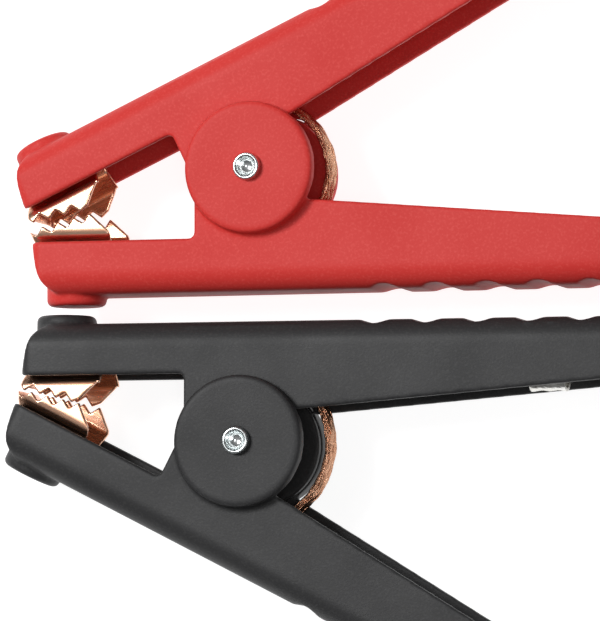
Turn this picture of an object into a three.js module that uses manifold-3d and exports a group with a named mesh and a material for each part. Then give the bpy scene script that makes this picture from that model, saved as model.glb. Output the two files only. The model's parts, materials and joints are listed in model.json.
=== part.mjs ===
import * as THREE from "three";
import { mergeVertices } from "three/addons/utils/BufferGeometryUtils.js";
import Module from "manifold-3d";

// A pair of insulated spring clamps with toothed copper jaws, one red and one black, lying on their
// sides. Millimetres, +Z up. Each clamp is drawn about its own pivot, whose axis is Z. An arm is drawn
// with its spine below the pivot along X and its nose towards -X. The upper arm is the same outline
// mirrored in X and turned up by the angle between the two spines.

const wasm = await Module();
wasm.setup();

// Fits
const gap = 0.3; // clearance between pieces that touch or turn on each other
const past = 40; // how far a cutting solid runs past what it cuts

// Arm mouldings
const spineToPivot = 35.2; // outer face of the spine
const channelWidth = 28; // over both cheeks
const wall = 2.5;
const spineRound = 7; // outer edge of the spine
const armLength = 125; // pivot to the handle's end
const endRound = 6;
const planRound = 4; // nose and handle end, seen from the spine
const rimToPivot = 19.9; // the cheek's edge along the jaw
const noseReach = 67; // the nose corner, at the cheek's edge
const noseDraft = 1.2; // the nose runs back by this down to its round
const noseStraight = 6.1; // from the cheek's edge to where the nose starts to round into the spine
const noseRoundLead = 3; // how far behind the nose the round's control point lies
const noseRoundLength = 9.8;
const throatRound = 1.5;
const gripDrop = 9.3; // from the pivot down to the cheek's inner edge, where it leaves the hub
const gripTaper = THREE.MathUtils.degToRad(4.7);

// Grip notches in the spine
const notchFirst = 38.1;
const notchPitch = 15.3;
const notchWidth = 8.3;
const notchDepth = 1.3;

// Pivot
const hubRadius = 17.5; // fills the round cut in the other arm's cheek
const discOverlap = 1.6; // the disc covers the joint round the hub by this
const discThickness = 4.2;
const discEdge = 1.2;
const earThickness = 2.5;
const bushWall = 1.7;
const rivetRadius = 3;
const rivetHeadRadius = 6.5;
const rivetHeadThickness = 1.3;
const rivetCollarLip = 0.9; // the rolled end is wider than the shank by this
const rivetCollarHeight = 1.9;
const rivetRollWidth = 1.1;
const rivetDishDepth = 4;

// Torsion spring
const wireRadius = 1.3;
const coilClearance = 2.2; // round the bush
const coilGap = 0.2; // between turns
const coilTurns = 4;
const legReach = 34; // where the leg meets the spine
const legShares = [0.12, 0.5, 0.88]; // points along the leg, from the spine to the coil
const footLength = 6;
const footBend = 0.6;

// Copper jaws
const copper = 1.2; // sheet thickness
const jawLength = 23; // front edge to rear edge, level with the cheek's edge
const jawLean = THREE.MathUtils.degToRad(27.5); // the front edge leans out from square
const plateProud = 2.2; // the flat of a plate stops this far above the cheek's edge
const plateBend = THREE.MathUtils.degToRad(40); // and bends in by this towards the web
const webHalf = 6.5;
const toothPitch = 4.9;
const toothDepth = 2.4;
const toothCount = 4;
const rearToothShare = 0.35; // the upper jaw's rear tooth ends this share of a tooth up from its root
const toothLine = THREE.MathUtils.degToRad(13.8); // the teeth close along this line through the pivot
const toothProud = 0.35; // the front tooth stands this far out of the front edge
const toothGap = 0.65; // half the gap between closed teeth
const rearSlope = 5.8; // from the last tooth back to the rear edge, along X
const rearDrop = 4.9; // and along Y
const tongueLength = 8.6; // behind the plates
const tongueHalf = 5;

// Jaw domes and rivets
const domeAheadOfRivet = 3; // its middle
const domeRadius = 8.7;
const domeProud = 2.8;
const domeEdge = 1.5; // round of its rim
const domeRoot = 10; // how far the dome runs down inside the nose
const jawRivetFromFront = 7.1; // behind the front of the jaw's web
const jawRivetRadius = 2;
const jawRivetHead = 4.4;
const jawRivetHeadHeight = 1.2;
const jawRivetLength = 5.2; // under its head

// Braided copper strap
const braidWidth = 8;
const braidThickness = 2.4;
const braidWrap = THREE.MathUtils.degToRad(75.6); // the loop starts this far round from each spine
const braidRise = [
  [22, 1.4],
  [11, 5.6],
]; // points ahead of the pivot, and how far the strap has risen off the jaw's tongue there

// Cable entry and crimp collar in the upper arm
const cableHole = 5.2;
const crimpRadius = 5.2;
const crimpWall = 1;
const crimpFromEnd = 37; // its middle, from the handle's end
const crimpLength = 10.4;
const crimpRise = 13.4; // its middle, above the inside of the spine
const cradleThickness = 2;
const cradleSpread = 3.4; // each cradle rib from the collar's middle

// The two clamps, side by side
const clampGap = 3; // between the red clamp's lower dome and the black one's upper dome
const clamps = [
  { colour: "red", ahead: 0, side: 1, turn: 0, spread: 25.3, braidPastDisc: 0.9 },
  { colour: "black", ahead: -3.2, side: -1, turn: -27.2, spread: 26.9, braidPastDisc: 4 },
]; // each strap's loop round the pivot passes a little outside the disc's edge

// Sizes that follow from those above
const half = channelWidth / 2;
const innerHalf = half - wall;
const spineInside = spineToPivot - wall;
const discFace = half + gap + discThickness;
const discRadius = hubRadius + discOverlap;
const earRadius = hubRadius - gap;
const throat = hubRadius - gap / 2; // edge of the cheek behind the jaw
const throatTop = gripDrop - wall / 2; // where that edge ends, under the disc
const gripStart = hubRadius - 2 * gap; // where the cheek's inner edge leaves the hub
const bushBore = rivetRadius + gap;
const bushRadius = bushBore + bushWall;
const rivetCollarRadius = rivetRadius + rivetCollarLip;
const rivetDishRadius = rivetCollarRadius - rivetRollWidth;
const coilRadius = bushRadius + coilClearance + wireRadius; // to the middle of the wire
const coilPitch = 2 * wireRadius + coilGap;
const jawHalf = innerHalf - gap; // half the width over a jaw's two plates
const jawFront = noseReach - gap; // level with the cheek's edge
const jawRear = jawFront - jawLength;
const tongueEnd = jawRear - tongueLength;
const leanSlope = Math.tan(jawLean);
const frontOnToothLine =
  (jawFront + rimToPivot * leanSlope) / (Math.cos(toothLine) + Math.sin(toothLine) * leanSlope);
const toothFront = frontOnToothLine + toothProud; // from the pivot along the tooth line
const webOutside = spineInside - gap;
const webInside = webOutside - copper;
const jawRivetX = -jawFrontAt(-webInside) - jawRivetFromFront;
const domeX = jawRivetX + domeAheadOfRivet;
const braidEnd = jawRear - gap;
const crimpX = armLength - crimpFromEnd;
const crimpToPivot = spineInside - crimpRise;
const crimpSeat = crimpRadius + gap;

const plastic = {
  red: new THREE.MeshStandardMaterial({ color: 0xc8302c, roughness: 0.55, metalness: 0 }),
  black: new THREE.MeshStandardMaterial({ color: 0x2b2b2c, roughness: 0.6, metalness: 0 }),
};
const copperSheet = new THREE.MeshStandardMaterial({ color: 0xd9865c, roughness: 0.25, metalness: 1 });
const copperWire = new THREE.MeshStandardMaterial({ color: 0xb4683f, roughness: 0.45, metalness: 1 });
const steel = new THREE.MeshStandardMaterial({ color: 0xc9ccce, roughness: 0.3, metalness: 1 });
const springSteel = new THREE.MeshStandardMaterial({ color: 0x8d8f92, roughness: 0.4, metalness: 1 });

function toSolid(geometry) {
  geometry.deleteAttribute("normal");
  geometry.deleteAttribute("uv");
  const merged = mergeVertices(geometry, 1e-4);
  const corners = merged.index.array;
  const kept = [];
  for (let i = 0; i < corners.length; i += 3) {
    const [a, b, c] = corners.slice(i, i + 3);
    if (a !== b && b !== c && a !== c) kept.push(a, b, c);
  }
  return new wasm.Manifold(
    new wasm.Mesh({
      numProp: 3,
      vertProperties: new Float32Array(merged.attributes.position.array),
      triVerts: new Uint32Array(kept),
    }),
  );
}

function toGeometry(solid) {
  const made = solid.getMesh();
  const geometry = new THREE.BufferGeometry();
  geometry.setAttribute("position", new THREE.BufferAttribute(made.vertProperties, 3));
  geometry.setIndex(new THREE.BufferAttribute(made.triVerts, 1));
  return geometry;
}

function extrude(shape, low, high, curveSegments) {
  const options = { depth: high - low, bevelEnabled: false, curveSegments };
  return new THREE.ExtrudeGeometry(shape, options).translate(0, 0, low);
}

// An outline in X and Y, given thickness from low to high in Z.
function slab(shape, low, high, curveSegments = 8) {
  return toSolid(extrude(shape, low, high, curveSegments));
}

// An outline in Z (as its X) and Y, run along X. It is the same on both sides of the middle.
function alongX(shape, low, high, curveSegments = 6) {
  return toSolid(extrude(shape, low, high, curveSegments).rotateY(Math.PI / 2));
}

// An outline in X and Z (as its Y), run along Y. It is the same on both sides of the middle.
function alongY(shape, low, high, curveSegments = 6) {
  return toSolid(extrude(shape, -high, -low, curveSegments).rotateX(Math.PI / 2));
}

function latheOf(points, segments) {
  const profile = points.map(([radius, height]) => new THREE.Vector2(radius, height));
  return new THREE.LatheGeometry(profile, segments);
}

// A turned shape about Z, from its radius and height points.
function turnedZ(points, segments = 20) {
  return toSolid(latheOf(points, segments).rotateX(Math.PI / 2));
}

// A turned shape about a line along Y at x.
function turnedY(points, x, segments = 14) {
  return toSolid(latheOf(points, segments).translate(x, 0, 0));
}

function polygon(points) {
  return new THREE.Shape(points.map(([x, y]) => new THREE.Vector2(x, y)));
}

function circle(x, y, radius) {
  return new THREE.Shape().absarc(x, y, radius, 0, 2 * Math.PI, false);
}

function rimAt(x) {
  return -gripDrop - (x - gripStart) * Math.tan(gripTaper);
}

// The jaw's front edge, moved out by a clearance.
function jawFrontAt(y, outBy = 0) {
  return -jawFront + (-rimToPivot - y) * Math.tan(jawLean) - outBy / Math.cos(jawLean);
}

function cheekOutline() {
  const shape = new THREE.Shape();
  shape.moveTo(-noseReach, -rimToPivot);
  shape.lineTo(-noseReach + noseDraft, -rimToPivot - noseStraight);
  shape.quadraticCurveTo(
    -noseReach + noseRoundLead,
    -spineToPivot,
    -noseReach + noseRoundLength,
    -spineToPivot,
  );
  shape.lineTo(armLength - endRound, -spineToPivot);
  shape.absarc(armLength - endRound, -spineToPivot + endRound, endRound, -Math.PI / 2, 0, false);
  shape.lineTo(armLength, rimAt(armLength));
  shape.lineTo(gripStart, rimAt(gripStart));
  shape.lineTo(-throat, -throatTop);
  shape.lineTo(-throat, -rimToPivot + throatRound);
  shape.absarc(-throat - throatRound, -rimToPivot + throatRound, throatRound, 0, -Math.PI / 2, true);
  shape.closePath();
  return shape;
}

// A section that is open upwards, with its two lower corners rounded.
function roundedTrough(halfWidth, bottom, round) {
  const shape = new THREE.Shape();
  shape.moveTo(-halfWidth, past);
  shape.lineTo(-halfWidth, -bottom + round);
  shape.absarc(-halfWidth + round, -bottom + round, round, Math.PI, 1.5 * Math.PI, false);
  shape.absarc(halfWidth - round, -bottom + round, round, 1.5 * Math.PI, 2 * Math.PI, false);
  shape.lineTo(halfWidth, past);
  shape.closePath();
  return shape;
}

// A rectangle in plan with rounded corners.
function roundedPlan(left, right, halfWidth, round) {
  const shape = new THREE.Shape();
  shape.absarc(left + round, -halfWidth + round, round, Math.PI, 1.5 * Math.PI, false);
  shape.absarc(right - round, -halfWidth + round, round, 1.5 * Math.PI, 2 * Math.PI, false);
  shape.absarc(right - round, halfWidth - round, round, 0, Math.PI / 2, false);
  shape.absarc(left + round, halfWidth - round, round, Math.PI / 2, Math.PI, false);
  shape.closePath();
  return shape;
}

// The moulding that both arms start from: a channel with a rounded spine, a dome at the jaw and notches.
function armBlank() {
  let arm = slab(cheekOutline(), -half, half, 6)
    .intersect(alongX(roundedTrough(half, spineToPivot, spineRound), -noseReach - past, armLength + past))
    .intersect(alongY(roundedPlan(-noseReach, armLength, half, planRound), -past, past, 4));
  const domeTop = -spineToPivot - domeProud;
  const domeRim = [0, 30, 60, 90].map((degrees) => {
    const angle = THREE.MathUtils.degToRad(degrees);
    return [domeRadius - domeEdge * (1 - Math.sin(angle)), domeTop + domeEdge * (1 - Math.cos(angle))];
  });
  const domeBottom = -spineToPivot + domeRoot;
  arm = arm.add(turnedY([[0, domeTop], ...domeRim, [domeRadius, domeBottom], [0, domeBottom]], -domeX, 20));
  const voidFront = -rimToPivot - plateProud;
  const hollow = polygon([
    [-noseReach - past, voidFront],
    [jawFrontAt(voidFront, gap), voidFront],
    [jawFrontAt(-spineInside, gap), -spineInside],
    [armLength - wall, -spineInside],
    [armLength - wall, past],
    [-noseReach - past, past],
  ]);
  const trough = alongX(
    roundedTrough(innerHalf, spineInside, spineRound - wall),
    -noseReach - 2 * past,
    armLength + past,
    5,
  );
  arm = arm.subtract(slab(hollow, -innerHalf, innerHalf).intersect(trough));
  const notchRadius = (notchWidth ** 2 / 4 + notchDepth ** 2) / (2 * notchDepth);
  for (let x = notchFirst; x < armLength - endRound - notchWidth / 2; x += notchPitch) {
    const cutter = circle(x, -spineToPivot - notchRadius + notchDepth, notchRadius);
    arm = arm.subtract(slab(cutter, -past, past, 16));
  }
  const rivetHole = [
    [0, -spineInside - jawRivetLength],
    [jawRivetRadius + gap, -spineInside - jawRivetLength],
    [jawRivetRadius + gap, -spineInside + gap],
    [0, -spineInside + gap],
  ];
  return arm.subtract(turnedY(rivetHole, -jawRivetX, 12));
}

// The outer arm: a hub fills the round cut in the other arm's cheek. A disc covers the joint on the
// top side, and the hub itself stands out on the underside.
function lowerHandle() {
  let arm = armBlank();
  for (const side of [1, -1]) {
    const edge = side > 0 ? discRadius : hubRadius;
    const disc = [
      [0, innerHalf],
      [hubRadius, innerHalf],
      [hubRadius, half + gap],
      ...(side > 0 ? [[edge, half + gap]] : []),
      [edge, discFace - discEdge],
      [edge - discEdge, discFace],
      [0, discFace],
    ].map(([radius, height]) => [radius, side * height]);
    arm = arm.add(turnedZ(side > 0 ? disc : disc.reverse(), 40));
  }
  const bore = [
    [0, -discFace - past],
    [rivetHeadRadius + gap, -discFace - past],
    [rivetHeadRadius + gap, -discFace + rivetHeadThickness + 2 * gap],
    [bushBore, -discFace + rivetHeadThickness + 2 * gap],
    [bushBore, discFace + past],
    [0, discFace + past],
  ];
  return arm.subtract(turnedZ(bore, 20));
}

// The inner arm: its cheeks are cut round the hub, and inboard ears carry them on the bush.
function upperHandle() {
  let arm = armBlank().subtract(slab(circle(0, 0, hubRadius + gap), -half - gap, half + gap, 20));
  const earOut = innerHalf - gap;
  const earIn = earOut - earThickness;
  const root = polygon([
    [-throat, -spineInside - wall / 2],
    [gripStart, -spineInside - wall / 2],
    [gripStart, -hubRadius + wall],
    [-throat, -hubRadius + wall],
  ]);
  const cut = circle(0, 0, hubRadius + gap);
  for (const side of [1, -1]) {
    const low = side > 0 ? earIn : -earOut;
    const joinLow = side > 0 ? earOut - gap : -innerHalf - gap;
    const ear = slab(circle(0, 0, earRadius), low, low + earThickness, 16);
    const join = slab(root, joinLow, joinLow + 3 * gap).subtract(slab(cut, -half, half, 20));
    arm = arm.add(ear).add(slab(root, low, low + earThickness)).add(join);
  }
  arm = arm.subtract(slab(circle(0, 0, bushRadius + gap), -half, half, 10));
  const cableRun = new THREE.CylinderGeometry(cableHole, cableHole, 2 * wall, 16);
  cableRun.rotateZ(Math.PI / 2).translate(armLength, -(spineInside - rimAt(armLength)) / 2, 0);
  arm = arm.subtract(toSolid(cableRun));
  const collar = new THREE.CylinderGeometry(crimpSeat, crimpSeat, crimpLength, 24);
  collar.rotateZ(Math.PI / 2).translate(crimpX, -crimpToPivot, 0);
  for (const side of [-1, 1]) {
    const x = crimpX + side * cradleSpread;
    const rib = polygon([
      [x - cradleThickness / 2, -spineInside - wall / 2],
      [x + cradleThickness / 2, -spineInside - wall / 2],
      [x + cradleThickness / 2, -crimpToPivot],
      [x - cradleThickness / 2, -crimpToPivot],
    ]);
    arm = arm.add(slab(rib, -innerHalf - wall / 4, innerHalf + wall / 4));
  }
  return arm.subtract(toSolid(collar));
}

// A point at a distance along the tooth line and a height above it.
function onToothLine(along, above) {
  return [
    -along * Math.cos(toothLine) - above * Math.sin(toothLine),
    -along * Math.sin(toothLine) + above * Math.cos(toothLine),
  ];
}

// One arm's teeth as outline points from the nose back. A phase of half a pitch meshes the other arm's.
function toothPoints(phase) {
  const points = [];
  const high = toothDepth / 2 - toothGap;
  const low = -toothDepth / 2 - toothGap;
  const end = toothFront - toothCount * toothPitch;
  points.push(onToothLine(toothFront, phase === 0 ? high : low));
  for (let i = 1; i < 2 * toothCount; i += 1) {
    const up = (i % 2 === 0) === (phase === 0);
    points.push(onToothLine(toothFront - (i * toothPitch) / 2, up ? high : low));
  }
  points.push(onToothLine(end, phase === 0 ? high : low + toothDepth * rearToothShare));
  return points;
}

function jawOutline(phase) {
  const teeth = toothPoints(phase);
  const [lastX, lastY] = teeth[teeth.length - 1];
  const [firstX, firstY] = teeth[0];
  return polygon([
    [jawFrontAt(-webOutside), -webOutside],
    [jawFrontAt(-rimToPivot), -rimToPivot],
    [Math.min(firstX, jawFrontAt(firstY)), firstY],
    ...teeth.slice(1),
    [Math.min(lastX + rearSlope, -jawRear - 2 * gap), lastY - rearDrop],
    [-jawRear, -rimToPivot + plateProud],
    [-jawRear, -webOutside],
  ]);
}

// Section of the jaw: flat plates that bend in to a narrower web. Inset by the sheet for the inside.
function jawSection(inset) {
  const bendY = -rimToPivot + plateProud;
  const slope = Math.tan(plateBend);
  const slant = inset / Math.cos(plateBend);
  const top = bendY + (slant - inset) / slope;
  const low = bendY - (jawHalf - slant - (webHalf - inset)) / slope;
  const bottom = -webOutside + inset;
  return polygon([
    [-jawHalf + inset, past],
    [-jawHalf + inset, top],
    [-webHalf + inset, low],
    [-webHalf + inset, bottom],
    [webHalf - inset, bottom],
    [webHalf - inset, low],
    [jawHalf - inset, top],
    [jawHalf - inset, past],
  ]);
}

function jaw(phase) {
  const reach = toothFront + past;
  const outside = slab(jawOutline(phase), -jawHalf, jawHalf).intersect(
    alongX(jawSection(0), -reach, reach),
  );
  const frontInside = polygon([
    [jawFrontAt(-webInside, -copper), -webInside],
    [jawFrontAt(past, -copper), past],
    [past, past],
    [past, -webInside],
  ]);
  const inside = slab(frontInside, -jawHalf + copper, jawHalf - copper).intersect(
    alongX(jawSection(copper), -reach, reach),
  );
  const tongue = polygon([
    [-jawRear - copper, -webOutside],
    [-tongueEnd, -webOutside],
    [-tongueEnd, -webInside],
    [-jawRear - copper, -webInside],
  ]);
  const hole = [
    [0, -webOutside - copper],
    [jawRivetRadius + gap, -webOutside - copper],
    [jawRivetRadius + gap, -webInside + copper],
    [0, -webInside + copper],
  ];
  return outside
    .subtract(inside)
    .add(slab(tongue, -tongueHalf, tongueHalf))
    .subtract(turnedY(hole, -jawRivetX, 12));
}

function jawRivet() {
  const under = -webInside + gap;
  return turnedY(
    [
      [0, under - jawRivetLength],
      [jawRivetRadius, under - jawRivetLength],
      [jawRivetRadius, under],
      [jawRivetHead, under],
      ...[30, 60, 90].map((degrees) => {
        const angle = THREE.MathUtils.degToRad(degrees);
        return [jawRivetHead * Math.cos(angle), under + jawRivetHeadHeight * Math.sin(angle)];
      }),
    ],
    -jawRivetX,
  );
}

// Its head sits in the lower disc; its hollow end is rolled over the upper one.
function pivotRivet() {
  const headLow = -discFace + gap;
  const headHigh = headLow + rivetHeadThickness;
  const collarLow = discFace + gap;
  const collarHigh = collarLow + rivetCollarHeight;
  return turnedZ([
    [0, headLow],
    [rivetHeadRadius, headLow],
    [rivetHeadRadius, headHigh],
    [rivetRadius, headHigh],
    [rivetRadius, collarLow],
    [rivetCollarRadius, collarLow],
    ...[0, 60, 120, 180].map((degrees) => {
      const angle = THREE.MathUtils.degToRad(degrees);
      const roll = rivetRollWidth / 2;
      const radius = rivetCollarRadius - roll + roll * Math.cos(angle);
      return [radius, collarHigh - roll + roll * Math.sin(angle)];
    }),
    [0, collarHigh - rivetDishDepth],
  ]);
}

function pivotBush() {
  const end = innerHalf - gap;
  return turnedZ([
    [bushBore, -end],
    [bushRadius, -end],
    [bushRadius, end],
    [bushBore, end],
    [bushBore, -end],
  ]);
}

// Mirrors a point of the lower arm onto the upper one, which is turned up by the spread.
function toUpper([x, y], spread) {
  return [x * Math.cos(spread) + y * Math.sin(spread), x * Math.sin(spread) - y * Math.cos(spread)];
}

// A section carried along a smooth line through the points.
function sweep(section, points, steps) {
  const extrudePath = new THREE.CatmullRomCurve3(points, false, "centripetal");
  extrudePath.arcLengthDivisions = 1200;
  return toSolid(new THREE.ExtrudeGeometry(section, { steps, bevelEnabled: false, extrudePath }));
}

// A coil round the bush, with a leg and a foot on each arm's spine.
function torsionSpring(spread) {
  const footY = -spineInside + gap + wireRadius;
  const reach = Math.hypot(legReach, footY);
  const start = Math.atan2(footY, legReach) - Math.acos(coilRadius / reach);
  const foot = [
    [legReach + footLength, footY],
    [legReach + footLength / 2, footY],
    [legReach + footBend, footY + footBend / 4],
  ];
  const tangent = [coilRadius * Math.cos(start), coilRadius * Math.sin(start)];
  const leg = legShares.map((share) => [
    THREE.MathUtils.lerp(legReach, tangent[0], share),
    THREE.MathUtils.lerp(footY, tangent[1], share),
  ]);
  const lower = [...foot, ...leg];
  const sweepAngle = 2 * Math.PI * (coilTurns + 1) - (spread - 2 * start);
  const legZ = ((sweepAngle / (2 * Math.PI)) * coilPitch) / 2; // the legs leave the coil's two ends
  const points = lower.map(([x, y]) => new THREE.Vector3(x, y, -legZ));
  const count = Math.round(sweepAngle / (Math.PI / 8));
  for (let i = 0; i <= count; i += 1) {
    const angle = start - (sweepAngle * i) / count;
    const z = -legZ + (2 * legZ * i) / count;
    points.push(new THREE.Vector3(coilRadius * Math.cos(angle), coilRadius * Math.sin(angle), z));
  }
  for (const point of lower.reverse()) {
    const [x, y] = toUpper(point, spread);
    points.push(new THREE.Vector3(x, y, legZ));
  }
  const section = new THREE.Shape(circle(0, 0, wireRadius).getPoints(3).slice(0, -1));
  return sweep(section, points, 84);
}

// From the lower jaw's tongue along the spine, round behind the pivot and back to the upper jaw's.
function braidStrap(spread, braidLoop) {
  const layY = -webInside + gap + braidThickness / 2;
  const lower = [
    [-braidEnd, layY],
    [-tongueEnd, layY],
    ...braidRise.map(([ahead, rise]) => [-ahead, layY + rise]),
  ];
  const points = lower.map(([x, y]) => new THREE.Vector3(x, y, 0));
  const from = -braidWrap;
  const to = spread + braidWrap;
  const count = 12;
  for (let i = 0; i <= count; i += 1) {
    const angle = THREE.MathUtils.lerp(from, to, i / count);
    points.push(new THREE.Vector3(braidLoop * Math.cos(angle), braidLoop * Math.sin(angle), 0));
  }
  for (const point of lower.reverse()) {
    const [x, y] = toUpper(point, spread);
    points.push(new THREE.Vector3(x, y, 0));
  }
  const w = braidWidth / 2;
  const t = braidThickness / 2;
  const edge = t / 2;
  const section = polygon([
    [-w, -edge],
    [-w + t, -t],
    [w - t, -t],
    [w, -edge],
    [w, edge],
    [w - t, t],
    [-w + t, t],
    [-w, edge],
  ]);
  return sweep(section, points, 34);
}

function cableCrimp() {
  const points = [
    [crimpRadius - crimpWall, -crimpLength / 2],
    [crimpRadius, -crimpLength / 2],
    [crimpRadius, crimpLength / 2],
    [crimpRadius - crimpWall, crimpLength / 2],
    [crimpRadius - crimpWall, -crimpLength / 2],
  ];
  return toSolid(latheOf(points, 16).rotateZ(-Math.PI / 2).translate(crimpX, -crimpToPivot, 0));
}

function part(name, solid, material) {
  const mesh = new THREE.Mesh(toGeometry(solid), material);
  mesh.name = name;
  return mesh;
}

function clamp({ colour, ahead, side, turn, spread, braidPastDisc }) {
  const angle = THREE.MathUtils.degToRad(spread);
  const lower = new THREE.Group();
  lower.add(part(`${colour}_lower_handle`, lowerHandle(), plastic[colour]));
  lower.add(part(`${colour}_lower_jaw`, jaw(0), copperSheet));
  lower.add(part(`${colour}_lower_jaw_rivet`, jawRivet(), steel));
  const upper = new THREE.Group();
  upper.add(part(`${colour}_upper_handle`, upperHandle(), plastic[colour]));
  upper.add(part(`${colour}_upper_jaw`, jaw(0.5), copperSheet));
  upper.add(part(`${colour}_upper_jaw_rivet`, jawRivet(), steel));
  upper.add(part(`${colour}_cable_crimp`, cableCrimp(), steel));
  upper.scale.y = -1;
  upper.rotation.z = angle;
  const whole = new THREE.Group();
  whole.add(lower, upper);
  whole.add(part(`${colour}_pivot_rivet`, pivotRivet(), steel));
  whole.add(part(`${colour}_pivot_bush`, pivotBush(), steel));
  whole.add(part(`${colour}_torsion_spring`, torsionSpring(angle), springSteel));
  whole.add(part(`${colour}_braid_strap`, braidStrap(angle, discRadius + braidPastDisc), copperWire));
  whole.position.set(ahead, side * (spineToPivot + domeProud + clampGap / 2), discFace);
  whole.rotation.z = THREE.MathUtils.degToRad(turn);
  return whole;
}

const pair = new THREE.Group();
pair.add(...clamps.map(clamp));

// The origin is under the middle of the pair, on the surface that the discs lie on.
const extent = new THREE.Box3().setFromObject(pair, true);
const middle = extent.getCenter(new THREE.Vector3());
for (const each of pair.children) {
  each.position.x -= middle.x;
  each.position.y -= middle.y;
}

export default pair;
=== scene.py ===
import json
import math
import random

import bmesh
import bpy
from mathutils import Matrix, Vector


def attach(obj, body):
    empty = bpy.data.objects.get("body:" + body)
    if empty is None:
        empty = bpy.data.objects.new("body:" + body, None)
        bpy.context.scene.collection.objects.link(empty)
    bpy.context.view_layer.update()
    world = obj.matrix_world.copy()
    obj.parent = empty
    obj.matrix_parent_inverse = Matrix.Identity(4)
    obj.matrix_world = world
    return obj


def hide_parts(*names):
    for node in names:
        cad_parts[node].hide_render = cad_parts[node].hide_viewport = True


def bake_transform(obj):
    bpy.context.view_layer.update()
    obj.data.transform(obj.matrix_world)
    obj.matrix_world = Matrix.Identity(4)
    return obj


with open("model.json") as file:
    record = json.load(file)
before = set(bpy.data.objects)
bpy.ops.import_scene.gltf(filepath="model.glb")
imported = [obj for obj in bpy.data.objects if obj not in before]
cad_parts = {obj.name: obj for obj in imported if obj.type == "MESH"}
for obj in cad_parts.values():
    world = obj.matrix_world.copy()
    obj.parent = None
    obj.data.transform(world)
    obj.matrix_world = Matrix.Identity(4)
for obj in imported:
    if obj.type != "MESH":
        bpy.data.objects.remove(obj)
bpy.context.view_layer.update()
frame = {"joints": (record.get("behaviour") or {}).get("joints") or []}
mm = 0.001  # shapes are set in millimetres, materials and the studio in metres
joints = {joint["name"]: joint for joint in frame["joints"]}
print("frame loaded")

# How far each lower arm is turned, how far the upper one stands open from it, and the strap's loop.
clamps = {
    "red": {"turn": 0, "spread": 25.3, "braidLoop": 20, "seed": 3},
    "black": {"turn": -27.2, "spread": 26.9, "braidLoop": 23.1, "seed": 8},
}


# A long lens that leans a little to the handles and to the black clamp.
camera = {
    "aim": (-8.85, -0.5, 32.5),
    "leanX": 15.5,
    "leanY": -4.6,
    "distance": 2600,
    "across": 172.5,  # width of the picture where it aims
    "sensor": 36,
    "clipEnd": 20,  # in metres
}


def makeCamera():
    data = bpy.data.cameras.new("camera")
    data.sensor_fit = "HORIZONTAL"
    data.sensor_width = camera["sensor"]
    data.lens = camera["sensor"] * camera["distance"] / camera["across"]
    data.clip_end = camera["clipEnd"]
    leanX = math.tan(math.radians(camera["leanX"]))
    leanY = math.tan(math.radians(camera["leanY"]))
    back = Vector((leanX, leanY, 1)).normalized()
    right = Vector((0, 1, 0)).cross(back).normalized()
    up = back.cross(right)
    place = Vector(camera["aim"]) * mm + back * camera["distance"] * mm
    seat = Matrix((right, up, back)).transposed().to_4x4()
    seat.translation = place
    obj = bpy.data.objects.new("camera", data)
    obj.matrix_world = seat
    bpy.context.scene.collection.objects.link(obj)
    bpy.context.scene.camera = obj


makeCamera()
print("camera placed")


def arc(x, y, radius, start, end, count=12):
    angles = [math.radians(start + (end - start) * i / count) for i in range(count + 1)]
    return [(x + radius * math.cos(a), y + radius * math.sin(a)) for a in angles]


def circle(x, y, radius, count):
    return arc(x, y, radius, 0, 360, count)[:-1]


def bend(start, control, end, count=14):
    points = []
    for i in range(count + 1):
        t = i / count
        first = (1 - t) ** 2
        middle = 2 * t * (1 - t)
        last = t * t
        points.append(tuple(first * a + middle * b + last * c for a, b, c in zip(start, control, end)))
    return points


cornerShare = 0.45  # the most of a side that the round at one of its ends may take


def rounded(points, reach, count=5):
    result = []
    for i, corner in enumerate(points):
        here = Vector(corner)
        before = Vector(points[i - 1]) - here
        after = Vector(points[(i + 1) % len(points)]) - here
        start = here + before.normalized() * min(reach, before.length * cornerShare)
        end = here + after.normalized() * min(reach, after.length * cornerShare)
        result += bend(start, here, end, count)
    return result


def prism(points, low, high, along="Z"):
    bm = bmesh.new()
    face = bm.faces.new([bm.verts.new((x, y, low)) for x, y in points])
    grown = bmesh.ops.extrude_face_region(bm, geom=[face])
    moved = [item for item in grown["geom"] if isinstance(item, bmesh.types.BMVert)]
    bmesh.ops.translate(bm, verts=moved, vec=(0, 0, high - low))
    bmesh.ops.recalc_face_normals(bm, faces=bm.faces)
    if along == "X":  # the outline's own x runs across the clamp
        bmesh.ops.rotate(bm, verts=bm.verts, matrix=Matrix.Rotation(math.pi / 2, 3, "Y"))
    if along == "Y":  # the outline's own y runs across the clamp
        bmesh.ops.rotate(bm, verts=bm.verts, matrix=Matrix.Rotation(math.pi / 2, 3, "X"))
        bmesh.ops.translate(bm, verts=bm.verts, vec=(0, low + high, 0))
    return bm


weldWithin = 0.0001  # points closer than this become one, as at the ends of a lathe's axis


def lathe(profile, steps=64, along="Z", x=0):
    bm = bmesh.new()
    verts = [bm.verts.new((radius, 0, height)) for radius, height in profile]
    edges = [bm.edges.new(pair) for pair in zip(verts, verts[1:])]
    bmesh.ops.spin(
        bm, geom=verts + edges, cent=(0, 0, 0), axis=(0, 0, 1), angle=2 * math.pi, steps=steps, use_merge=True
    )
    bmesh.ops.remove_doubles(bm, verts=bm.verts, dist=weldWithin)
    bmesh.ops.recalc_face_normals(bm, faces=bm.faces)
    if along == "Y":
        bmesh.ops.rotate(bm, verts=bm.verts, matrix=Matrix.Rotation(-math.pi / 2, 3, "X"))
    if along == "X":
        bmesh.ops.rotate(bm, verts=bm.verts, matrix=Matrix.Rotation(math.pi / 2, 3, "Y"))
    bmesh.ops.translate(bm, verts=bm.verts, vec=(x, 0, 0))
    return bm


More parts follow.
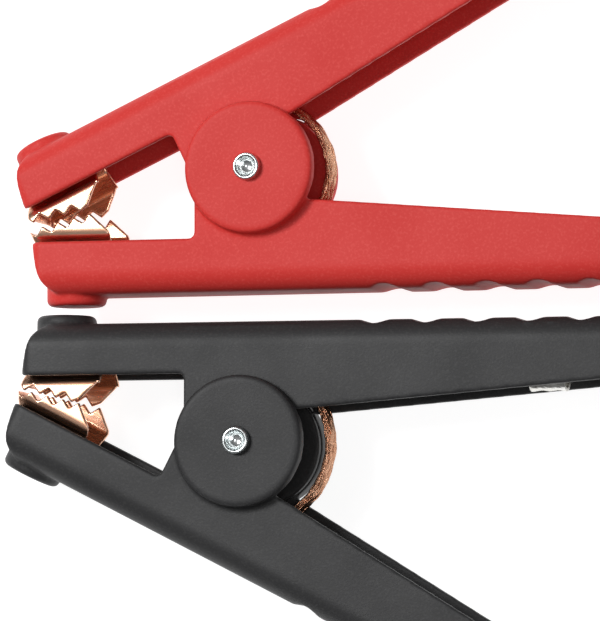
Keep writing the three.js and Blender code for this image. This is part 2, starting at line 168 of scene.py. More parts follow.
def toObject(bm, name="blank"):
    mesh = bpy.data.meshes.new(name)
    bm.to_mesh(mesh)
    bm.free()
    obj = bpy.data.objects.new(name, mesh)
    bpy.context.scene.collection.objects.link(obj)
    return obj


def applied(obj):
    mesh = bpy.data.meshes.new_from_object(obj.evaluated_get(bpy.context.evaluated_depsgraph_get()))
    obj.modifiers.clear()
    obj.data = mesh
    return obj


# The object's shape, to cut or join with, in place of the object.
def shapeOf(obj):
    bm = bmesh.new()
    bm.from_mesh(obj.data)
    bpy.data.objects.remove(obj)
    return bm


def combine(obj, how, *shapes):
    for shape in shapes:
        other = toObject(shape)
        modifier = obj.modifiers.new("combine", "BOOLEAN")
        modifier.operation = how
        modifier.solver = "EXACT"
        modifier.object = other
        applied(obj)
        bpy.data.objects.remove(other)


easeStep = 0.5  # how far one pass moves a point to the middle of its neighbours


# A fine even skin over the joined solid, with its edges eased as a mould or a press leaves them.
def eased(obj, voxel, passes):
    remesh = obj.modifiers.new("skin", "REMESH")
    remesh.mode = "VOXEL"
    remesh.voxel_size = voxel
    remesh.use_smooth_shade = True
    smooth = obj.modifiers.new("ease", "SMOOTH")
    smooth.factor = easeStep
    smooth.iterations = passes
    return applied(obj)


facets = {"small": 48, "middle": 72, "wide": 96, "pivot": 128}  # flats round a turned side

moulding = {
    "half": 14,
    "wall": 2.5,
    "spine": 35.2,
    "spineRound": 7,
    "end": 125,
    "endRound": 6,
    "planRound": 4,
    "rim": 19.9,  # from the middle of the clamp to the cheeks' edge in the nose
    "nose": 67,
    "noseDraft": 1.2,
    "noseStraight": 6.1,
    "noseLead": 3,
    "noseLength": 9.8,
    "hub": 17.5,
    "throatRound": 1.5,
    "gripDrop": 9.3,  # the same where the grip starts
    "gripTaper": 4.7,  # in degrees, as are all leans and turns
    "notchFirst": 38.1,
    "notchPitch": 15.3,
    "notchWidth": 8.3,
    "notchDepth": 1.3,
    "domeX": 56.7,
    "dome": 8.7,
    "domeProud": 2.8,
    "domeEdge": 1.6,
    "domeRoot": 10,
    "voxel": 0.55,
    "easing": 7,
    "gap": 0.3,
    "far": 60,  # well clear of the piece, for the shapes that cut it
}
pivot = {
    "disc": 19.1,
    "discThickness": 4.2,
    "discEdge": 1.3,
    "ear": 17.2,
    "earThickness": 2.5,
    "bore": 3.3,
    "bush": 5,
    "rivet": 3,
    "head": 6.5,
    "headThickness": 1.3,
    "collar": 3.9,
    "collarHeight": 1.9,
    "roll": 1.1,
    "dish": 4,
    "dishStep": (0.2, 0.1),
    "headEdge": 0.5,
    "headTopEdge": 0.2,
    "footLip": 0.15,
    "footEdge": 0.3,
}
cableEnd = {
    "hole": 5.2,
    "radius": 5.2,
    "wall": 1,
    "x": 88,
    "length": 10.4,
    "y": 19.3,
    "rib": 2,
    "ribSpread": 3.4,
    "ribLean": 0.01,
    "ribRoot": 1,
    "ribOverlap": 0.6,
}
inner = moulding["half"] - moulding["wall"]
spineInside = moulding["spine"] - moulding["wall"]
discFace = moulding["half"] + moulding["gap"] + pivot["discThickness"]
gripStart = moulding["hub"] - 2 * moulding["gap"]
throat = moulding["hub"] - moulding["gap"] / 2
jaw = {
    "sheet": 1.2,
    "half": 11.2,
    "web": 6.5,
    "front": 66.7,
    "rear": 43.7,
    "lean": 27.5,
    "proud": 2.2,
    "bend": 40,
    "bendRound": 1.8,
    "frontRound": 2.6,
    "tooth": 4.9,
    "depth": 2.4,
    "teeth": 4,
    "rearShare": 0.35,
    "line": 13.8,
    "frontTooth": 70.7,
    "halfGap": 0.65,
    "slope": 5.8,
    "drop": 4.9,
    "tongue": 35.1,
    "tongueHalf": 5,
    "rivetX": 53.72,
    "rivet": 2,
    "rivetHead": 4.4,
    "rivetHeight": 1.2,
    "rivetLength": 5.2,
    "rivetEdge": 0.3,
    "rearClear": 0.6,
    "planReach": (-50, 40),
    "voxel": 0.28,
    "easing": 2,
}
webOutside = spineInside - moulding["gap"]
webInside = webOutside - jaw["sheet"]


def rimAt(x):
    return -moulding["gripDrop"] - (x - gripStart) * math.tan(math.radians(moulding["gripTaper"]))


def jawFrontAt(y, outBy=0):
    lean = math.radians(jaw["lean"])
    return -jaw["front"] + (-moulding["rim"] - y) * math.tan(lean) - outBy / math.cos(lean)


def cheekOutline():
    m = moulding
    nose = bend(
        (-m["nose"] + m["noseDraft"], -m["rim"] - m["noseStraight"]),
        (-m["nose"] + m["noseLead"], -m["spine"]),
        (-m["nose"] + m["noseLength"], -m["spine"]),
    )
    end = arc(m["end"] - m["endRound"], -m["spine"] + m["endRound"], m["endRound"], -90, 0)
    corner = arc(-throat - m["throatRound"], -m["rim"] + m["throatRound"], m["throatRound"], 0, -90, count=6)
    top = [
        (m["end"], rimAt(m["end"])),
        (gripStart, rimAt(gripStart)),
        (-throat, -m["gripDrop"] + m["wall"] / 2),
    ]
    return [(-m["nose"], -m["rim"])] + nose + end + top + corner


def trough(half, bottom, radius):
    left = arc(-half + radius, -bottom + radius, radius, 180, 270)
    right = arc(half - radius, -bottom + radius, radius, 270, 360)
    return [(-half, moulding["far"])] + left + right + [(half, moulding["far"])]


def plan(left, right, half, radius):
    corners = [(left, -half), (right, -half), (right, half), (left, half)]
    return rounded(corners, radius, count=8)


def makeBlank(name):
    m = moulding
    far = m["far"]
    obj = toObject(prism(cheekOutline(), -m["half"], m["half"]), name)
    long = (-m["nose"] - far, m["end"] + far)
    combine(obj, "INTERSECT", prism(trough(m["half"], m["spine"], m["spineRound"]), *long, along="X"))
    outline = plan(-m["nose"], m["end"], m["half"], m["planRound"])
    combine(obj, "INTERSECT", prism(outline, -far, far, along="Y"))
    top = -m["spine"] - m["domeProud"]
    edge = arc(m["dome"] - m["domeEdge"], top + m["domeEdge"], m["domeEdge"], -90, 0, count=8)
    root = -m["spine"] + m["domeRoot"]
    profile = [(0, top)] + edge + [(m["dome"], root), (0, root)]
    combine(obj, "UNION", lathe(profile, along="Y", x=-m["domeX"]))
    front = -m["rim"] - jaw["proud"]
    hollow = [
        (-m["nose"] - far, front),
        (jawFrontAt(front, m["gap"]), front),
        (jawFrontAt(-spineInside, m["gap"]), -spineInside),
        (m["end"] - m["wall"], -spineInside),
        (m["end"] - m["wall"], far),
        (-m["nose"] - far, far),
    ]
    space = toObject(prism(hollow, -inner, inner))
    inside = trough(inner, spineInside, m["spineRound"] - m["wall"])
    combine(space, "INTERSECT", prism(inside, -far * 3, far * 4, along="X"))  # longer than the hollow
    combine(obj, "DIFFERENCE", shapeOf(space))
    radius = (m["notchWidth"] ** 2 / 4 + m["notchDepth"] ** 2) / (2 * m["notchDepth"])
    x = m["notchFirst"]
    while x < m["end"] - m["endRound"] - m["notchWidth"] / 2:
        ring = circle(x, -m["spine"] - radius + m["notchDepth"], radius, facets["wide"])
        combine(obj, "DIFFERENCE", prism(ring, -far, far))
        x += m["notchPitch"]
    return obj


def makeLowerHandle():
    m = moulding
    obj = makeBlank("lowerHandle")
    discEdge = pivot["discEdge"]
    # Only the top side has a disc wider than the hub.
    for side, radius in ((1, pivot["disc"]), (-1, m["hub"])):
        edge = arc(radius - discEdge, discFace - discEdge, discEdge, 0, 90, count=8)
        profile = [(0, inner), (m["hub"], inner), (m["hub"], m["half"] + m["gap"])]
        if side > 0:
            profile.append((radius, m["half"] + m["gap"]))
        profile += edge + [(0, discFace)]
        combine(obj, "UNION", lathe([(r, side * h) for r, h in profile], steps=facets["pivot"]))
    seat = -discFace + pivot["headThickness"] + 2 * m["gap"]
    bore = [(0, -m["far"]), (pivot["head"] + m["gap"], -m["far"]), (pivot["head"] + m["gap"], seat)]
    bore += [(pivot["bore"], seat), (pivot["bore"], m["far"]), (0, m["far"])]
    combine(obj, "DIFFERENCE", lathe(bore))
    return eased(obj, m["voxel"], m["easing"])


def makeUpperHandle():
    m = moulding
    far = m["far"]
    obj = makeBlank("upperHandle")
    around = circle(0, 0, m["hub"] + m["gap"], facets["pivot"])
    combine(obj, "DIFFERENCE", prism(around, -far, far))
    out = inner - m["gap"]
    root = [
        (-throat, -spineInside - m["wall"] / 2),
        (gripStart, -spineInside - m["wall"] / 2),
        (gripStart, -m["hub"] + m["wall"]),
        (-throat, -m["hub"] + m["wall"]),
    ]
    ear = circle(0, 0, pivot["ear"], facets["wide"])
    for side in (1, -1):
        low, high = sorted((side * out, side * (out - pivot["earThickness"])))
        joinLow, joinHigh = sorted((side * (out - m["gap"]), side * (inner + m["gap"])))
        combine(obj, "UNION", prism(ear, low, high), prism(root, low, high))
        join = toObject(prism(root, joinLow, joinHigh))
        combine(join, "DIFFERENCE", prism(around, -far, far))
        combine(obj, "UNION", shapeOf(join))
    ribTop = -cableEnd["y"]
    ribFoot = -spineInside - cableEnd["ribRoot"]
    ribHalf = inner + cableEnd["ribOverlap"]
    lean = cableEnd["ribLean"]
    for side in (-1, 1):
        x = cableEnd["x"] + side * cableEnd["ribSpread"]
        left = x - cableEnd["rib"] / 2
        right = x + cableEnd["rib"] / 2
        rib = [(left, ribFoot), (right - lean, ribFoot), (right, ribTop), (left + lean, ribTop)]
        combine(obj, "UNION", prism(rib, -ribHalf, ribHalf))
    bush = circle(0, 0, pivot["bush"] + m["gap"], facets["small"])
    combine(obj, "DIFFERENCE", prism(bush, -inner, inner))
    seat = circle(0, -cableEnd["y"], cableEnd["radius"] + m["gap"], facets["small"])
    seatEnds = (cableEnd["x"] - cableEnd["length"], cableEnd["x"] + cableEnd["length"])
    combine(obj, "DIFFERENCE", prism(seat, *seatEnds, along="X"))
    middle = -(spineInside - rimAt(m["end"])) / 2
    entry = circle(0, middle, cableEnd["hole"], facets["small"])
    combine(obj, "DIFFERENCE", prism(entry, m["end"] - 2 * m["wall"], m["end"] + m["wall"], along="X"))
    return eased(obj, m["voxel"], m["easing"])


def toothLinePoint(along, above):
    line = math.radians(jaw["line"])
    x = -along * math.cos(line) - above * math.sin(line)
    y = -along * math.sin(line) + above * math.cos(line)
    return (x, y)


def jawOutline(phase):
    high = jaw["depth"] / 2 - jaw["halfGap"]
    low = -jaw["depth"] / 2 - jaw["halfGap"]
    points = [toothLinePoint(jaw["frontTooth"], high if phase == 0 else low)]
    for i in range(1, 2 * jaw["teeth"]):
        up = (i % 2 == 0) == (phase == 0)
        points.append(toothLinePoint(jaw["frontTooth"] - i * jaw["tooth"] / 2, high if up else low))
    last = high if phase == 0 else low + jaw["depth"] * jaw["rearShare"]
    points.append(toothLinePoint(jaw["frontTooth"] - jaw["teeth"] * jaw["tooth"], last))
    rear = (min(points[-1][0] + jaw["slope"], -jaw["rear"] - jaw["rearClear"]), points[-1][1] - jaw["drop"])
    first = (min(points[0][0], jawFrontAt(points[0][1])), points[0][1])
    base = [(jawFrontAt(-webOutside), -webOutside), (jawFrontAt(-moulding["rim"]), -moulding["rim"]), first]
    back = [rear, (-jaw["rear"], -moulding["rim"] + jaw["proud"]), (-jaw["rear"], -webOutside)]
    return base + points[1:] + back


def jawSection(inset, reach):
    slope = math.tan(math.radians(jaw["bend"]))
    slant = inset / math.cos(math.radians(jaw["bend"]))
    level = -moulding["rim"] + jaw["proud"]
    top = level + (slant - inset) / slope
    low = level - (jaw["half"] - slant - (jaw["web"] - inset)) / slope
    half = jaw["half"] - inset
    web = jaw["web"] - inset
    bottom = -webOutside + inset
    far = moulding["far"]
    left = [(-half, far), (-half, top), (-web, low), (-web, bottom)]
    right = [(-x, y) for x, y in reversed(left)]
    return rounded(left + right, reach)


def jawPlan(inset, radius):
    outline = plan(-jaw["front"] + inset, moulding["far"], jaw["half"] - inset, radius)
    bm = prism(outline, *jaw["planReach"], along="Y")
    lean = math.tan(math.radians(jaw["lean"]))
    for vert in bm.verts:
        vert.co.x += (-moulding["rim"] - vert.co.y) * lean
    return bm


def makeJaw(phase):
    far = moulding["far"] * 2
    obj = toObject(prism(jawOutline(phase), -jaw["half"], jaw["half"]), "jaw")
    section = jawSection(0, jaw["bendRound"])
    combine(obj, "INTERSECT", prism(section, -far, far, along="X"), jawPlan(0, jaw["frontRound"]))
    sheet = jaw["sheet"]
    space = toObject(prism(jawSection(sheet, jaw["bendRound"] - sheet / 2), -far, far, along="X"))
    frontSheet = sheet / math.cos(math.radians(jaw["lean"]))
    combine(space, "INTERSECT", jawPlan(frontSheet, jaw["frontRound"] - sheet / 2))
    combine(obj, "DIFFERENCE", shapeOf(space))
    tongue = [
        (-jaw["rear"] - sheet, -webOutside),
        (-jaw["tongue"], -webOutside),
        (-jaw["tongue"], -webInside),
        (-jaw["rear"] - sheet, -webInside),
    ]
    combine(obj, "UNION", prism(tongue, -jaw["tongueHalf"], jaw["tongueHalf"]))
    return eased(obj, jaw["voxel"], jaw["easing"])


def makeJawRivet():
    under = -webInside + moulding["gap"]
    quarter = arc(0, 0, 1, 0, 90, count=10)
    head = [(jaw["rivetHead"] * c, under + jaw["rivetHeight"] * s) for c, s in quarter]
    low = under - jaw["rivetLength"]
    edge = jaw["rivetEdge"]
    foot = [(0, low), (jaw["rivet"] - edge, low), (jaw["rivet"], low + edge), (jaw["rivet"], under)]
    return toObject(lathe(foot + head, steps=facets["small"], along="Y", x=-jaw["rivetX"]), "jawRivet")


def makePivotRivet():
    low = -discFace + moulding["gap"]
    high = low + pivot["headThickness"]
    collar = discFace + moulding["gap"]
    top = collar + pivot["collarHeight"]
    roll = pivot["roll"] / 2
    edge = pivot["headEdge"]
    topEdge = pivot["headTopEdge"]
    head = arc(pivot["head"] - edge, low + edge, edge, -90, 0, count=5)
    head += arc(pivot["head"] - topEdge, high - topEdge, topEdge, 0, 90, count=3)
    rolled = arc(pivot["collar"] - roll, top - roll, roll, 0, 180)
    inside = pivot["collar"] - 2 * roll
    inward, down = pivot["dishStep"]
    floor = top - pivot["dish"]
    dish = bend((inside, top - roll - down), (inside - inward, floor), (0, floor), count=10)
    foot = [
        (pivot["rivet"], high),
        (pivot["rivet"], collar),
        (pivot["collar"] + pivot["footLip"], collar),
        (pivot["collar"], collar + pivot["footEdge"]),
    ]
    return toObject(lathe([(0, low)] + head + foot + rolled + dish, steps=facets["middle"]), "pivotRivet")


def makePivotBush():
    end = inner - moulding["gap"]
    outside = [(pivot["bore"], -end), (pivot["bush"], -end), (pivot["bush"], end), (pivot["bore"], end)]
    return toObject(lathe(outside + outside[:1], steps=facets["small"]), "pivotBush")


def toUpper(point, spread):
    turn = math.radians(spread)
    x, y = point
    return (x * math.cos(turn) + y * math.sin(turn), x * math.sin(turn) - y * math.cos(turn))


curveSteps = 24  # between one given point and the next


# A smooth line through the points, with places a set distance apart.
def smoothLine(points, step):
    ends = [points[0] * 2 - points[1]] + points + [points[-1] * 2 - points[-2]]
    fine = []
    for a, b, c, d in zip(ends, ends[1:], ends[2:], ends[3:]):
        for i in range(curveSteps):
            t = i / curveSteps
            straight = 2 * b + (c - a) * t
            square = (2 * a - 5 * b + 4 * c - d) * t**2
            cube = (3 * b - a - 3 * c + d) * t**3
            fine.append(0.5 * (straight + square + cube))
    fine.append(points[-1])
    even = [fine[0]]
    run = 0
    for a, b in zip(fine, fine[1:]):
        length = (b - a).length
        while run + length >= step:
            share = (step - run) / length
            a = a.lerp(b, share)
            even.append(a)
            length = (b - a).length
            run = 0
        run += length
    return even


def wiresToObject(lines, radius, name, sides=0):
    curve = bpy.data.curves.new(name, "CURVE")
    curve.dimensions = "3D"
    curve.bevel_depth = radius
    curve.bevel_resolution = sides
    curve.use_fill_caps = True
    for line in lines:
        spline = curve.splines.new("POLY")
        spline.points.add(len(line) - 1)
        for point, place in zip(spline.points, line):
            point.co = (*place, 1)
    obj = bpy.data.objects.new(name, curve)
    bpy.context.scene.collection.objects.link(obj)
    mesh = bpy.data.meshes.new_from_object(obj.evaluated_get(bpy.context.evaluated_depsgraph_get()))
    bpy.data.objects.remove(obj)
    made = bpy.data.objects.new(name, mesh)
    bpy.context.scene.collection.objects.link(made)
    mesh.shade_smooth()
    return made


spring = {
    "wire": 1.25,
    "coil": 8.5,
    "turns": 4,
    "gap": 0.2,
    "reach": 34,
    "foot": 6,
    "footShares": (1, 0.7, 0.4),
    "footTurn": (0.6, 0.15),
    "legShares": (0.12, 0.5, 0.88),
    "round": 1.3,
    "perTurn": 20,
    "step": 0.9,
    "sides": 5,
}


def makeSpring(spread):
    coil = spring["coil"]
    reach = spring["reach"]
    footY = -spineInside + moulding["gap"] + spring["round"]
    start = math.atan2(footY, reach) - math.acos(coil / math.hypot(reach, footY))
    lower = [(reach + spring["foot"] * share, footY) for share in spring["footShares"]]
    lower.append((reach + spring["footTurn"][0], footY + spring["footTurn"][1]))
    tangent = Vector((coil * math.cos(start), coil * math.sin(start)))
    for share in spring["legShares"]:
        lower.append(tuple(Vector((reach, footY)).lerp(tangent, share)))
    sweep = 2 * math.pi * (spring["turns"] + 1) - (math.radians(spread) - 2 * start)
    legZ = sweep / (2 * math.pi) * (2 * spring["round"] + spring["gap"]) / 2
    points = [Vector((x, y, -legZ)) for x, y in lower]
    count = round(sweep / (2 * math.pi / spring["perTurn"]))
    for i in range(count + 1):
        angle = start - sweep * i / count
        points.append(Vector((coil * math.cos(angle), coil * math.sin(angle), -legZ + 2 * legZ * i / count)))
    for point in reversed(lower):
        points.append(Vector((*toUpper(point, spread), legZ)))
    line = smoothLine(points, spring["step"])
    return wiresToObject([line], spring["wire"], "torsionSpring", spring["sides"])


# Carriers of fine wires cross over and under each other in a long lay.
braid = {
    "width": 7.6,
    "thickness": 1.5,
    "end": 43.4,
    "rise": ((22, 1.4), (11, 5.6)),
    "wrap": 75.6,
    "lay": 96,  # the length in which a carrier goes once round
    "carriers": 7,
    "wires": 6,
    "wire": 0.2,
    "spacing": 0.5,
    "weave": 0.16,
    "edge": 0.985,
    "flatness": 2.4,
    "crossing": 9,  # the length from one crossing over to the next
    "stray": 0.2,
    "strayRuns": (5.3, 2.1),
    "strayTurn": 6,
    "step": 1.1,
    "seat": 2.4,
    "loopPoints": 14,
}


def braidLine(spread, loop):
    level = -webInside + moulding["gap"] + braid["seat"] / 2
    lower = [(-braid["end"], level), (-jaw["tongue"], level)]
    lower += [(-ahead, level + rise) for ahead, rise in braid["rise"]]
    points = [Vector((x, y, 0)) for x, y in lower]
    around = arc(0, 0, loop, -braid["wrap"], spread + braid["wrap"], count=braid["loopPoints"])
    points += [Vector((x, y, 0)) for x, y in around]
    points += [Vector((*toUpper(point, spread), 0)) for point in reversed(lower)]
    return smoothLine(points, braid["step"])


def makeBraid(spread, loop, seed):
    rng = random.Random(seed)
    line = braidLine(spread, loop)
    slow, fast = braid["strayRuns"]
    lines = []
    for way in (1, -1):
        for carrier in range(braid["carriers"]):
            for wire in range(braid["wires"]):
                sideways = (wire - (braid["wires"] - 1) / 2) * braid["spacing"]
                wobble = [rng.uniform(-1, 1) for _ in range(4)]
                places = []
                for i, here in enumerate(line):
                    run = i * braid["step"]
                    ahead = line[min(i + 1, len(line) - 1)] - line[max(i - 1, 0)]
                    normal = Vector((ahead.y, -ahead.x, 0)).normalized()
                    phase = way * run / braid["lay"] + carrier / braid["carriers"]
                    turn = 2 * math.pi * (phase + sideways / (2 * braid["width"]))
                    across = braid["width"] / 2 * math.asin(math.sin(turn) * braid["edge"]) / (math.pi / 2)
                    layer = max(-1, min(1, braid["flatness"] * math.cos(turn)))
                    crossing = 2 * math.pi * (run / braid["crossing"] + carrier / 2)
                    over = way * math.cos(crossing) * braid["weave"]
                    stray = math.sin(run / slow + braid["strayTurn"] * wobble[0]) * wobble[1]
                    stray += math.sin(run / fast + braid["strayTurn"] * wobble[2]) * wobble[3] / 2
                    through = layer * (braid["thickness"] / 2 + over) + stray * braid["stray"]
                    places.append(here + normal * through + Vector((0, 0, across + stray * braid["stray"])))
                lines.append(places)
    return wiresToObject(lines, braid["wire"], "braidStrap")


crimp = {
    "dents": (-2.4, 2.4),
    "dentWidth": 1.7,
    "dentDepth": 0.5,
    "dentShares": (0.6, 0.4),
    "dentFlats": 6,
    "wrinkle": 0.12,
    "ridges": 9,
    "twist": 1.3,
    "bands": 2.1,
    "rings": 40,
    "crisp": 50,
}


def makeCrimp():
    length = cableEnd["length"]
    rings = crimp["rings"]
    outside = [(cableEnd["radius"], -length / 2 + length * i / rings) for i in range(rings + 1)]
    inside = [(cableEnd["radius"] - cableEnd["wall"], h) for r, h in reversed(outside)]
    bm = lathe(outside + inside + outside[:1], steps=facets["middle"], along="X")
    even, waved = crimp["dentShares"]
    for vert in bm.verts:
        x = vert.co.x
        around = math.atan2(vert.co.z, vert.co.y)
        pinch = sum(math.exp(-(((x - at) / crimp["dentWidth"]) ** 2)) for at in crimp["dents"])
        ridge = crimp["wrinkle"] * math.sin(crimp["ridges"] * around + crimp["twist"] * x)
        ridge *= math.sin(crimp["bands"] * x)
        dent = pinch * crimp["dentDepth"] * (even + waved * math.cos(crimp["dentFlats"] * around))
        scale = 1 - (dent + abs(ridge)) / cableEnd["radius"]
        vert.co.y *= scale
        vert.co.z *= scale
    bmesh.ops.translate(bm, verts=bm.verts, vec=(cableEnd["x"], -cableEnd["y"], 0))
    return toObject(bm, "cableCrimp")


def newMaterial(name):
    material = bpy.data.materials.new(name)
    material.use_nodes = True
    nodes = material.node_tree.nodes
    links = material.node_tree.links
    shader = nodes["Principled BSDF"]
    place = nodes.new("ShaderNodeTexCoord").outputs["Object"]
    return material, nodes, links, shader, place


def noiseOf(nodes, links, place, scale, detail, stretch=None, turn=0):
    if stretch:
        mapping = nodes.new("ShaderNodeMapping")
        mapping.vector_type = "TEXTURE"
        mapping.inputs["Rotation"].default_value[2] = math.radians(turn)
        mapping.inputs["Scale"].default_value = stretch
        links.new(place, mapping.inputs["Vector"])
        place = mapping.outputs["Vector"]
    noise = nodes.new("ShaderNodeTexNoise")
    noise.inputs["Scale"].default_value = scale
    noise.inputs["Detail"].default_value = detail
    links.new(place, noise.inputs["Vector"])
    return noise.outputs["Fac"]


def spreadOf(nodes, links, value, low, high, start=0.3, end=0.7):
    span = nodes.new("ShaderNodeMapRange")
    span.inputs["From Min"].default_value = start
    span.inputs["From Max"].default_value = end
    span.inputs["To Min"].default_value = low
    span.inputs["To Max"].default_value = high
    links.new(value, span.inputs["Value"])
    return span.outputs["Result"]


def mixOf(nodes, links, share, first, second):
    mix = nodes.new("ShaderNodeMix")
    mix.data_type = "RGBA"
    links.new(share, mix.inputs["Factor"])
    for socket, value in ((mix.inputs["A"], first), (mix.inputs["B"], second)):
        if isinstance(value, tuple):
            socket.default_value = (*value, 1)
        else:
            links.new(value, socket)
    return mix.outputs["Result"]


def bumpOf(nodes, links, height, distance, strength, before=None):
    bump = nodes.new("ShaderNodeBump")
    bump.inputs["Strength"].default_value = strength
    bump.inputs["Distance"].default_value = distance
    links.new(height, bump.inputs["Height"])
    if before:
        links.new(before, bump.inputs["Normal"])
    return bump.outputs["Normal"]


plastic = {
    "red": {
        "main": (0.66, 0.042, 0.036),
        "deep": (0.63, 0.036, 0.031),
        "worn": (0.8, 0.12, 0.1),
        "rough": (0.5, 0.56),
        "shine": 0.22,
    },
    "black": {
        "main": (0.03, 0.03, 0.031),
        "deep": (0.025, 0.025, 0.026),
        "worn": (0.07, 0.07, 0.07),
        "rough": (0.48, 0.56),
        "shine": 0.3,
    },
    "cloud": 45,
    "scuff": 1300,
    "scuffSpan": (0, 0.45, 0.5, 0.8),
    "waveDepth": 0.0003,
    "waveStrength": 0.06,
    "grain": 1700,
    "grainDepth": 0.00009,
    "grainStrength": 0.55,
    "bending": 1.5,  # how strongly it bends light
}


def plasticMaterial(colour):
    tone = plastic[colour]
    material, nodes, links, shader, place = newMaterial(colour + "Moulding")
    cloud = noiseOf(nodes, links, place, plastic["cloud"], detail=4)
    body = mixOf(nodes, links, spreadOf(nodes, links, cloud, 0, 1), tone["main"], tone["deep"])
    scuff = noiseOf(nodes, links, place, plastic["scuff"], detail=6)
    worn = spreadOf(nodes, links, scuff, *plastic["scuffSpan"])
    links.new(mixOf(nodes, links, worn, body, tone["worn"]), shader.inputs["Base Color"])
    links.new(spreadOf(nodes, links, cloud, *tone["rough"]), shader.inputs["Roughness"])
    grain = noiseOf(nodes, links, place, plastic["grain"], detail=3)
    broad = noiseOf(nodes, links, place, plastic["cloud"] * 2, detail=2)
    wave = bumpOf(nodes, links, broad, plastic["waveDepth"], plastic["waveStrength"])
    fine = bumpOf(nodes, links, grain, plastic["grainDepth"], plastic["grainStrength"], wave)
    links.new(fine, shader.inputs["Normal"])
    shader.inputs["IOR"].default_value = plastic["bending"]
    shader.inputs["Specular IOR Level"].default_value = tone["shine"]
    return material


copper = {
    "pale": (0.96, 0.63, 0.46),
    "warm": (0.86, 0.43, 0.26),
    "stain": (0.45, 0.17, 0.08),
    "streak": 900,
    "stretch": (22, 1, 1),
    "cloud": 160,
    "stainSpan": (0, 0.4, 0.56, 0.78),
    "rough": (0.16, 0.34),
    "depth": 0.00003,
    "strength": 0.5,
}


def copperMaterial(name, turn):
    material, nodes, links, shader, place = newMaterial(name)
    streak = noiseOf(nodes, links, place, copper["streak"], detail=4, stretch=copper["stretch"], turn=turn)
    cloud = noiseOf(nodes, links, place, copper["cloud"], detail=4)
    body = mixOf(nodes, links, spreadOf(nodes, links, streak, 0, 1), copper["pale"], copper["warm"])
    stained = spreadOf(nodes, links, cloud, *copper["stainSpan"])
    links.new(mixOf(nodes, links, stained, body, copper["stain"]), shader.inputs["Base Color"])
    links.new(spreadOf(nodes, links, streak, *copper["rough"]), shader.inputs["Roughness"])
    links.new(bumpOf(nodes, links, streak, copper["depth"], copper["strength"]), shader.inputs["Normal"])
    shader.inputs["Metallic"].default_value = 1
    return material


metals = {
    "brightSteel": {
        "light": (0.8, 0.81, 0.8),
        "dark": (0.6, 0.64, 0.65),
        "rough": (0.16, 0.24),
        "scale": 500,
        "depth": 0.000003,
    },
    "springSteel": {
        "light": (0.24, 0.24, 0.26),
        "dark": (0.14, 0.14, 0.15),
        "rough": (0.36, 0.5),
        "scale": 1800,
        "depth": 0.00003,
    },
    "copperWire": {
        "light": (0.95, 0.56, 0.37),
        "dark": (0.66, 0.3, 0.17),
        "rough": (0.18, 0.32),
        "scale": 2400,
        "depth": 0.00002,
    },
    "crimpMetal": {
        "light": (0.88, 0.88, 0.86),
        "dark": (0.74, 0.72, 0.67),
        "rough": (0.26, 0.4),
        "scale": 1100,
        "depth": 0.00002,
    },
}
metalBump = 0.5
metalCloud = 6  # how much broader the cloudy tones are than the grain


def metalMaterial(name, light, dark, rough, scale, depth):
    material, nodes, links, shader, place = newMaterial(name)
    grain = noiseOf(nodes, links, place, scale, detail=4)
    cloud = noiseOf(nodes, links, place, scale / metalCloud, detail=3)
    body = mixOf(nodes, links, spreadOf(nodes, links, cloud, 0, 1), light, dark)
    links.new(body, shader.inputs["Base Color"])
    links.new(spreadOf(nodes, links, grain, *rough), shader.inputs["Roughness"])
    links.new(bumpOf(nodes, links, grain, depth, metalBump), shader.inputs["Normal"])
    shader.inputs["Metallic"].default_value = 1
    return material


metal = {name: metalMaterial(name, **look) for name, look in metals.items()}
print("materials made")


def setDown(blank, name, matrix, material, node):
    obj = bpy.data.objects.new(name, blank.data.copy())
    bpy.context.scene.collection.objects.link(obj)
    bm = bmesh.new()
    bm.from_mesh(obj.data)
    bmesh.ops.transform(bm, matrix=matrix, verts=bm.verts)
    if matrix.determinant() < 0:
        bmesh.ops.reverse_faces(bm, faces=bm.faces)
    bm.to_mesh(obj.data)
    bm.free()
    obj.data.materials.clear()
    obj.data.materials.append(material)
    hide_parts(node)
    return obj


# Smooth over gentle turns, and crisp where two faces meet at more than the given angle.
def shade(obj, degrees=35):
    obj.data.shade_smooth()
    obj.data.set_sharp_from_angle(angle=math.radians(degrees))
    return obj


lowerHandle = makeLowerHandle()
print("lower handle made", len(lowerHandle.data.polygons))
upperHandle = makeUpperHandle()
print("upper handle made", len(upperHandle.data.polygons))
lowerJaw = makeJaw(0)
upperJaw = makeJaw(0.5)
print("jaws made", len(lowerJaw.data.polygons))
jawRivet = shade(makeJawRivet())
pivotRivet = shade(makePivotRivet())
pivotBush = shade(makePivotBush())
cableCrimp = shade(makeCrimp(), crimp["crisp"])
blanks = [lowerHandle, upperHandle, lowerJaw, upperJaw, jawRivet, pivotRivet, pivotBush, cableCrimp]

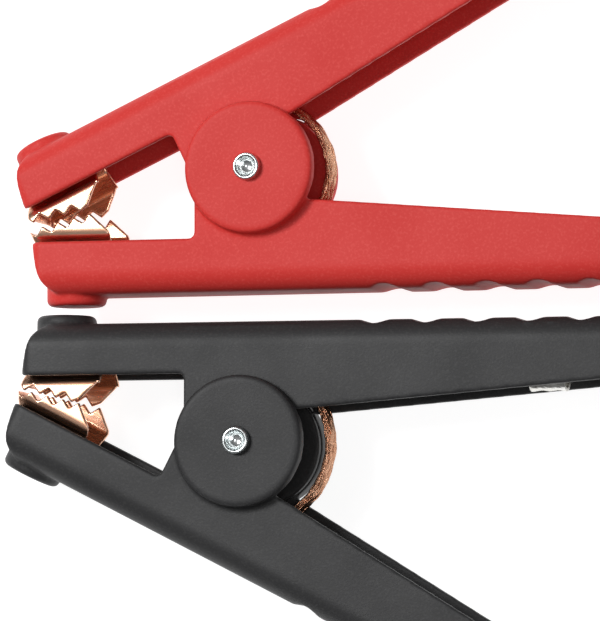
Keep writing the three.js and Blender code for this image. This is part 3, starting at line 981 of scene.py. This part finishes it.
for colour, place in clamps.items():
    at = Vector(joints[colour + "_squeeze"]["pos_m"])
    size = Matrix.Scale(mm, 4)
    lowerSeat = Matrix.Translation(at) @ Matrix.Rotation(math.radians(place["turn"]), 4, "Z") @ size
    mirror = Matrix.Scale(-1, 4, (0, 1, 0))
    upperSeat = lowerSeat @ Matrix.Rotation(math.radians(place["spread"]), 4, "Z") @ mirror
    skin = plasticMaterial(colour)
    lowerCopper = copperMaterial(colour + "LowerCopper", place["turn"])
    upperCopper = copperMaterial(colour + "UpperCopper", place["turn"] + place["spread"])
    lower = colour + "_lower"
    upper = colour + "_upper"
    fixed = [
        (lowerHandle, "LowerHandle", skin, "_lower_handle", colour + "_plastic"),
        (lowerJaw, "LowerJaw", lowerCopper, "_lower_jaw", "copper_sheet"),
        (jawRivet, "LowerJawRivet", metal["brightSteel"], "_lower_jaw_rivet", "bright_steel"),
        (pivotRivet, "PivotRivet", metal["brightSteel"], "_pivot_rivet", "bright_steel"),
        (pivotBush, "PivotBush", metal["springSteel"], "_pivot_bush", "spring_steel"),
    ]
    turning = [
        (upperHandle, "UpperHandle", skin, "_upper_handle", colour + "_plastic"),
        (upperJaw, "UpperJaw", upperCopper, "_upper_jaw", "copper_sheet"),
        (jawRivet, "UpperJawRivet", metal["brightSteel"], "_upper_jaw_rivet", "bright_steel"),
        (cableCrimp, "CableCrimp", metal["crimpMetal"], "_cable_crimp", "bright_steel"),
    ]
    for body, seat, pieces in ((lower, lowerSeat, fixed), (upper, upperSeat, turning)):
        for blank, name, material, node, slotName in pieces:
            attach(setDown(blank, colour + name, seat, material, colour + node), body)
    # The spring and the strap bend from the lower arm to the upper one across the pivot.
    coil = makeSpring(place["spread"])
    strap = makeBraid(place["spread"], place["braidLoop"], place["seed"])
    soft = [
        (coil, "TorsionSpring", metal["springSteel"], "_torsion_spring", "spring_steel"),
        (strap, "BraidStrap", metal["copperWire"], "_braid_strap", "copper_braid"),
    ]
    for made, name, material, node, slotName in soft:
        piece = setDown(made, colour + name, lowerSeat, material, colour + node)
        bpy.data.objects.remove(made)
        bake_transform(piece)
    print(colour, "clamp set down")

for blank in blanks:
    bpy.data.objects.remove(blank)


studio = {
    "floor": 3,
    "white": (0.4, 0.4, 0.4),
    "shade": (0.37, 0.37, 0.375),
    "cloud": 6,
    "rough": 0.8,
    "shine": 0.1,
    "glow": 0.88,
    "horizon": 0.04,
    "zenith": 0.3,
    "zenithFrom": 0.9,
    "mainLight": {"place": (-0.75, 0.45, 1.5), "size": 0.6, "power": 20},
    "jawLight": {"place": (-0.46, 0.12, 1.6), "size": 0.5, "power": 1.1},
    "fillLight": {"place": (0.5, -0.15, 1.72), "size": 0.4, "power": 3.5},
}


def areaLight(name, place, size, power):
    data = bpy.data.lights.new(name, "AREA")
    data.shape = "DISK"
    data.size = size
    data.energy = power
    obj = bpy.data.objects.new(name, data)
    obj.location = place
    obj.rotation_euler = (-Vector(place)).to_track_quat("-Z", "Y").to_euler()
    bpy.context.scene.collection.objects.link(obj)


def makeStage():
    bm = bmesh.new()
    bmesh.ops.create_grid(bm, x_segments=1, y_segments=1, size=studio["floor"])
    floor = toObject(bm, "floor")
    material, nodes, links, shader, place = newMaterial("paleFloor")
    cloud = noiseOf(nodes, links, place, studio["cloud"], detail=2)
    links.new(mixOf(nodes, links, cloud, studio["white"], studio["shade"]), shader.inputs["Base Color"])
    shader.inputs["Roughness"].default_value = studio["rough"]
    shader.inputs["Specular IOR Level"].default_value = studio["shine"]
    shader.inputs["Emission Color"].default_value = (1, 1, 1, 1)
    shader.inputs["Emission Strength"].default_value = studio["glow"]
    floor.data.materials.append(material)
    world = bpy.data.worlds.new("sky")
    world.use_nodes = True
    nodes = world.node_tree.nodes
    links = world.node_tree.links
    split = nodes.new("ShaderNodeSeparateXYZ")
    links.new(nodes.new("ShaderNodeTexCoord").outputs["Generated"], split.inputs["Vector"])
    up = split.outputs["Z"]
    strength = spreadOf(nodes, links, up, studio["horizon"], studio["zenith"], 0, studio["zenithFrom"])
    links.new(strength, nodes["Background"].inputs["Strength"])
    nodes["Background"].inputs["Color"].default_value = (1, 1, 1, 1)
    bpy.context.scene.world = world
    for name in ("mainLight", "jawLight", "fillLight"):
        areaLight(name, **studio[name])


makeStage()
bpy.context.scene.view_settings.view_transform = "Standard"
print("stage made")
